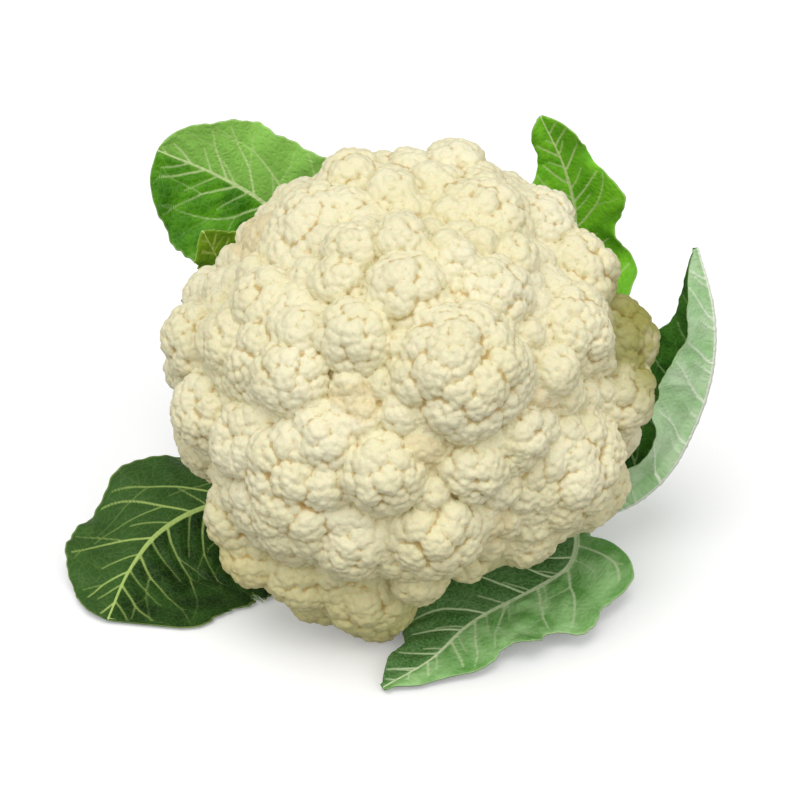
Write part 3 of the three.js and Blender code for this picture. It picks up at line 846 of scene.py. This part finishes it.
def makeLeaf(leaf):
    rng = np.random.default_rng(leaf["seed"])
    _, _, length = smoothSpine(leaf["spine"], 50)
    rows = int(length / leafFinish["grid"])
    columns = int(max(leaf["halfWidth"]) / leafFinish["grid"])
    middle, forward, _ = smoothSpine(leaf["spine"], rows)
    along = np.linspace(0, 1, rows)
    start, end = np.array(leaf["facing"], float)
    inner = start + (end - start) * along[:, None]
    inner = unit(inner - forward * (inner * forward).sum(1, keepdims=True))
    sideways = np.cross(forward, inner)
    folded = np.minimum(1, along / leaf["bladeFrom"])
    share = np.linspace(0, 1, columns)
    widths, sheets, flats = [], [], []
    for half, sign in ((0, -1), (1, 1)):
        width, wave, ruffle = halfBlade(leaf, half, along, rng)
        across = width[:, None] * share
        fold = leaf["fold"][half] + leaf["curl"][half] * share
        angle = np.radians(folded[:, None] * fold)
        lift = across * np.sin(angle) + wave[:, None] * share ** 2 + ruffle[:, None] * share ** 3
        out = sign * across * np.cos(angle)
        sheet = middle[:, None] + sideways[:, None] * out[:, :, None] + inner[:, None] * lift[:, :, None]
        sheets.append(sheet)
        widths.append(width)
        down = np.broadcast_to((along * length)[:, None], across.shape)
        flats.append(np.stack([down, sign * across], 2))
    sheet = np.concatenate([sheets[0][:, :0:-1], sheets[1]], 1)
    flat = np.concatenate([flats[0][:, :0:-1], flats[1]], 1)
    margin = np.concatenate([share[:0:-1], share])[None] * np.ones((rows, 1))
    lines = veinLines(leaf, length, along, widths, rng)
    vein, apart = veinMap(lines, flat.reshape(-1, 2))
    vein = vein.reshape(flat.shape[:2])
    apart = apart.reshape(flat.shape[:2])
    # the midrib, broad at the foot and fine at the tip
    across = np.abs(flat[:, :, 1])
    ribWidth = (leaf["rib"][0] + (leaf["rib"][1] - leaf["rib"][0]) * along ** 0.7)[:, None]
    rib = 1 - smooth(across, 0.55 * ribWidth, 1.25 * ribWidth)
    apart = np.minimum(apart, across)
    normals = unit(np.cross(np.gradient(sheet, axis=1), np.gradient(sheet, axis=0)))
    swell = leafFinish["quilt"] * (1 - np.exp(-((apart / leafFinish["quiltReach"]) ** 2)))
    blade = smooth(along, 0.7 * leaf["bladeFrom"], leaf["bladeFrom"] + 0.1)[:, None]
    sheet = sheet + normals * (swell * blade * (1 - margin ** 8))[:, :, None]
    sheet[:, :, 2] = np.maximum(sheet[:, :, 2], leafFinish["rest"])
    stem = leaf["petiole"][0] + (1 - leaf["petiole"][0]) * along[:, None]
    depth = leaf["petiole"][1] + (0.5 - leaf["petiole"][1]) * along[:, None]
    ridge = depth * np.sqrt(np.maximum(0, 1 - (across / stem) ** 2))
    thinner = leafFinish["marginThickness"] - leafFinish["thickness"]
    half = 0.5 * (leafFinish["thickness"] + thinner * margin ** 4)
    veined = leafFinish["veinRidge"] * vein
    upper = sheet + normals * (half + 0.35 * rib * ribWidth / leaf["rib"][0] * 1.5)[:, :, None]
    lower = sheet - normals * (half + ridge + veined * (1 - margin ** 6))[:, :, None]
    lower[:, :, 2] = np.maximum(lower[:, :, 2], leafFinish["lowest"])
    leafMesh(leaf, upper, lower, np.maximum(vein, rib), apart, margin, flat)


def leafMesh(leaf, upper, lower, vein, apart, margin, flat):
    rows, columns = upper.shape[:2]
    size = rows * columns
    number = np.arange(size).reshape(rows, columns)
    a, b = number[:-1, :-1].ravel(), number[:-1, 1:].ravel()
    c, d = number[1:, 1:].ravel(), number[1:, :-1].ravel()
    front = np.stack([a, b, c, d], 1)
    back = np.stack([d, c, b, a], 1) + size
    loop = np.concatenate([number[0, :-1], number[:-1, -1], number[-1, :0:-1], number[:0:-1, 0]])
    after = np.roll(loop, -1)
    rim = np.stack([after, loop, loop + size, after + size], 1)
    points = np.concatenate([upper.reshape(-1, 3), lower.reshape(-1, 3)])
    paper = np.column_stack([flat.reshape(-1, 2), np.zeros(size)])
    attributes = {"under": np.repeat([0.0, 1.0], size), "paper": np.vstack([paper, paper + [0, 0, 9]])}
    for label, values in (("vein", vein), ("apart", apart), ("margin", margin)):
        attributes[label] = np.tile(values.ravel(), 2)
    mesh = newMesh(leaf["name"], points, np.concatenate([front, back, rim]), 4)
    newPiece(leaf["name"], mesh, leafMaterial(leaf), leaf["node"], attributes)
    print("leaf:", leaf["name"], len(points), "points")


def leafMaterial(leaf):
    material, wire, connect = newMaterial(leaf["name"], {"Specular IOR Level": 0.13})
    paper = wire.attribute("paper", "Vector")
    vein = wire.attribute("vein")
    under = wire.attribute("under").between(0.45, 0.55)
    apart = wire.attribute("apart")
    margin = wire.attribute("margin")
    mottle = wire.noise(paper, 0.09, 4).between(0.3, 0.7)
    fine = wire.noise(paper, 0.9, 3, 0.6)
    cells = {"Vector": paper, "Scale": 0.42}
    net = wire.node("ShaderNodeTexVoronoi", {"feature": "DISTANCE_TO_EDGE"}, cells)
    netting = 1 - net.between(0.0, 0.09)
    top = mottle.blend(leaf["dark"], leaf["light"])
    top = (apart.between(0.5, 6) * 0.35).blend(top, leaf["dark"])
    # painted light on the far half of each blade: a painted sheen where its colour is lighter, the head's
    # painted shadow on the front right leaf where it is darker
    far = wire.node("ShaderNodeSeparateXYZ", (), {0: paper}, 1).between(-2, 2)
    top = (far * leaf["farShare"]).blend(top, leaf["far"])
    top = (netting * 0.07).blend(top, leaf["veins"])
    top = (fine.between(0.35, 0.75) * 0.25).blend(top, leaf["light"])
    top = vein.between(0.12, 0.75).blend(top, leaf["veins"])
    below = mottle.blend(leaf["underDark"], leaf["under"])
    below = (netting * 0.07).blend(below, leaf["underVeins"])
    below = vein.between(0.15, 0.8).blend(below, leaf["underVeins"])
    colour = under.blend(top, below)
    colour = (margin.between(0.965, 1.0) * 0.4).blend(colour, leaf["veins"])
    connect("Base Color", colour)
    connect("Roughness", fine * 0.15 + under * 0.14 + 0.4)
    relief = fine * 0.5 + net.between(0.0, 0.3) * 0.5
    connect("Normal", wire.bump(relief, 0.0005, 0.5))
    return material


leafBackLeft = {
    "name": "leafBackLeft", "node": "leaf_back_left", "slot": "bright_leaf", "seed": 11,
    "spine": [(-6, 10, 16), (-15, 38, 26), (-21, 62, 52), (-29, 68, 80), (-43, 64, 100), (-61, 62, 113),
              (-82, 60, 124)],
    "facing": [(0, -0.5, 1), (0.1, -1, 0.1)],
    "halfWidth": (35, 27), "bladeFrom": 0.22, "peak": (0.64, 0.6),
    "roundness": (1.2, 1.2), "fold": (8, 6), "curl": (6, 4), "wave": (3, 3, 0.5), "lobe": (5, 0.04, 0.3),
    "petiole": (5, 6), "rib": (2.6, 0.35), "laterals": 8, "teeth": [(13, 0.015), (31, 0.01)],
    "ruffle": [(9, 0.9), (14, 0.6)],
    "light": shade(94, 160, 26), "dark": shade(42, 102, 4), "veins": shade(204, 226, 160),
    # the far half is painted lighter as a painted sheen
    "far": shade(152, 208, 98), "farShare": 0.85,
    "under": shade(160, 190, 130), "underDark": shade(128, 166, 98), "underVeins": shade(206, 222, 178),
}
leafBackRight = {
    "name": "leafBackRight", "node": "leaf_back_right", "slot": "bright_leaf", "seed": 12,
    "spine": [(10, 10, 16), (27, 36, 22), (53, 60, 42), (72, 66, 70), (74, 65, 92), (69, 62, 115),
              (59, 58, 138)],
    "facing": [(0, -0.5, 1), (-0.2, -1, 0.1)],
    "halfWidth": (20, 24), "bladeFrom": 0.16, "peak": (0.42, 0.3),
    "roundness": (1, 0.75), "fold": (14, 10), "curl": (4, 4), "wave": (4, 5, 1.5), "lobe": (5, 0.2, 1.83),
    "petiole": (5, 6), "rib": (2.4, 0.35), "laterals": 10, "teeth": [(17, 0.02), (33, 0.012)],
    "ruffle": [(8, 2.8), (13, 1.6)],
    "light": shade(130, 206, 44), "dark": shade(76, 152, 16), "veins": shade(200, 224, 150),
    "far": shade(130, 206, 50), "farShare": 0.2,
    "under": shade(168, 196, 140), "underDark": shade(136, 172, 104), "underVeins": shade(210, 224, 182),
}
leafInnerSmall = {
    "name": "leafInnerSmall", "node": "leaf_inner_small", "slot": "young_leaf", "seed": 13,
    "spine": [(-16, 4, 24), (-45, 24, 38), (-63, 34, 62), (-59, 38, 84), (-64, 32, 104)],
    "facing": [(0.4, -0.3, 1), (0.6, -1, 0.2)],
    "halfWidth": (12, 14), "bladeFrom": 0.5, "peak": (0.5, 0.5),
    "roundness": (1.1, 1.1), "fold": (10, 10), "curl": (0, 0), "wave": (2, 1, 0), "lobe": (6, 0.12, 0),
    "petiole": (3, 3), "rib": (1.5, 0.3), "laterals": 6, "teeth": [(13, 0.06), (29, 0.04)],
    "ruffle": [(7, 0.6)],
    "light": shade(146, 186, 46), "dark": shade(92, 140, 22), "veins": shade(204, 222, 120),
    "far": shade(146, 186, 46), "farShare": 0.2,
    "under": shade(160, 186, 110), "underDark": shade(126, 160, 80), "underVeins": shade(200, 216, 150),
}
leafRight = {
    "name": "leafRight", "node": "leaf_right", "slot": "pale_leaf", "seed": 14,
    "spine": [(18, -9, 17), (49, -10, 16), (80, -18, 18), (99, -18, 30), (111, -11, 48), (117, -6, 68),
              (117, -2, 89), (111, 2, 112)],
    "facing": [(-0.2, 0.1, 1), (-1, 0.15, 0.1)],
    "halfWidth": (27, 22), "bladeFrom": 0.3, "peak": (0.45, 0.4),
    "roundness": (1.4, 1.2), "fold": (45, 45), "curl": (0, 0), "wave": (3, 3, 0), "lobe": (5, 0.06, 0),
    "petiole": (5, 6), "rib": (2.2, 0.35), "laterals": 7, "teeth": [(15, 0.012), (29, 0.008)],
    "ruffle": [(7, 0.8), (12, 0.5)],
    "light": shade(74, 134, 42), "dark": shade(38, 92, 22), "veins": shade(176, 206, 140),
    "far": shade(38, 92, 22), "farShare": 0.2,
    "under": shade(194, 221, 178), "underDark": shade(162, 203, 144), "underVeins": shade(238, 246, 224),
}
leafFrontLeft = {
    "name": "leafFrontLeft", "node": "leaf_front_left", "slot": "dark_leaf", "seed": 15,
    "spine": [(-17, -5, 13), (-43, -7, 15), (-65, -14, 14), (-80, -26, 11), (-89, -43, 6), (-94, -66, 2)],
    "facing": [(0, -0.2, 1), (-0.1, -0.3, 1)],
    "halfWidth": (49, 32), "bladeFrom": 0.03, "peak": (0.5, 0.42),
    "roundness": (0.33, 1), "fold": (-15, 2), "curl": (0, 0), "wave": (3, 4, 0), "lobe": (4, 0.05, 0.4),
    "petiole": (5, 6), "rib": (1.9, 0.35), "laterals": 6, "teeth": [(14, 0.012), (31, 0.008)],
    "ruffle": [(8, 0.9), (13, 0.5)],
    "light": shade(44, 80, 24), "dark": shade(18, 44, 6), "veins": shade(176, 200, 112),
    "far": shade(72, 110, 48), "farShare": 0.5,
    "under": shade(150, 178, 132), "underDark": shade(118, 152, 100), "underVeins": shade(196, 212, 172),
}
leafFrontRight = {
    "name": "leafFrontRight", "node": "leaf_front_right", "slot": "mid_leaf", "seed": 16,
    "spine": [(18, 4, 7), (43, 9, 7), (62, 2, 8), (71, -16, 8), (69, -40, 9), (60, -52, 8), (33, -72, 5),
              (18, -91, 3), (2, -105, 2)],
    "facing": [(0, 0, 1), (0, 0, 1)],
    "halfWidth": (27, 22), "bladeFrom": 0.4, "peak": (0.38, 0.42),
    "roundness": (1.7, 1.2), "fold": (4, 12), "curl": (0, 0), "wave": (3, 3, 0), "lobe": (5, 0.1, 3.14),
    "petiole": (5, 6), "rib": (2.2, 0.35), "laterals": 7, "teeth": [(15, 0.012), (33, 0.008)],
    "ruffle": [(7, 0.8), (12, 0.5)],
    "light": shade(166, 210, 142), "dark": shade(92, 152, 66), "veins": shade(206, 224, 178),
    # the far half is painted dark as the head's painted shadow
    "far": shade(34, 78, 20), "farShare": 0.8,
    "under": shade(156, 186, 132), "underDark": shade(124, 160, 98), "underVeins": shade(204, 220, 180),
}
for leaf in (leafBackLeft, leafBackRight, leafInnerSmall, leafRight, leafFrontLeft, leafFrontRight):
    makeLeaf(leaf)

# Camera, floor and light.
view = {"lens": 100, "sensor": 36, "place": (0.0074504, -0.697056, 0.454390), "tilt": 60}
camera = bpy.data.objects.new("camera", bpy.data.cameras.new("camera"))
camera.data.lens = view["lens"]
camera.data.sensor_width = view["sensor"]
camera.location = view["place"]
camera.rotation_euler = (math.radians(view["tilt"]), 0, 0)
bpy.context.scene.collection.objects.link(camera)
bpy.context.scene.camera = camera

studio = {
    "halfSize": 12000, "level": -0.3, "bounceDrop": 0.5, "world": 0.45,
    "floor": {"Roughness": 0.7, "Specular IOR Level": 0.2, "Emission Color": (1, 1, 1, 1),
              "Emission Strength": 0.18},
    "floorShades": ((0.9, 0.9, 0.9, 1), (0.93, 0.93, 0.93, 1)),
    "bounce": {"Base Color": (0.22, 0.22, 0.21, 1), "Roughness": 1},
    "lights": [  # name, where from, strength, softness in degrees
        ("key", (-0.12, -0.3, 1), 1.3, 45),
        ("front", (0.15, -1, 0.5), 0.25, 50),
        ("fillRight", (0.75, -0.65, 0.55), 0.72, 50),
        ("fillLeft", (-0.7, -0.7, 0.55), 0.62, 50),
    ],
}


def studioLight(name, direction, strength, softness):
    lamp = bpy.data.lights.new(name, "SUN")
    lamp.energy = strength
    lamp.angle = math.radians(softness)
    light = bpy.data.objects.new(name, lamp)
    light.location = direction
    light.rotation_euler = Vector(direction).to_track_quat("Z", "Y").to_euler()
    bpy.context.scene.collection.objects.link(light)


def groundPlane(name, level, material):
    size = studio["halfSize"]
    corners = [(-size, -size, level), (size, -size, level), (size, size, level), (-size, size, level)]
    ground = bpy.data.objects.new(name, newMesh(name, corners, [(0, 1, 2, 3)], 4))
    ground.data.materials.append(material)
    bpy.context.scene.collection.objects.link(ground)
    return ground


def makeStudio():
    floorMaterial, wire, connect = newMaterial("floor", studio["floor"])
    connect("Base Color", wire.noise(wire.place(), 3).blend(*studio["floorShades"]))
    floor = groundPlane("floor", studio["level"], floorMaterial)
    floor.visible_diffuse = False  # so that the white floor doesn't light the head from below
    floor.visible_shadow = False
    # a darker floor that the camera doesn't see sends back less light
    bounceMaterial, _, _ = newMaterial("bounce", studio["bounce"])
    bounce = groundPlane("bounce", studio["level"] - studio["bounceDrop"], bounceMaterial)
    bounce.visible_camera = False
    bounce.visible_glossy = False
    for light in studio["lights"]:
        studioLight(*light)
    world = bpy.data.worlds.new("world")
    bpy.context.scene.world = world
    world.use_nodes = True
    background = world.node_tree.nodes["Background"]
    background.inputs[0].default_value = (1, 1, 1, 1)
    background.inputs[1].default_value = studio["world"]
    print("studio: done")


makeStudio()
bpy.context.scene.view_settings.view_transform = "Standard"
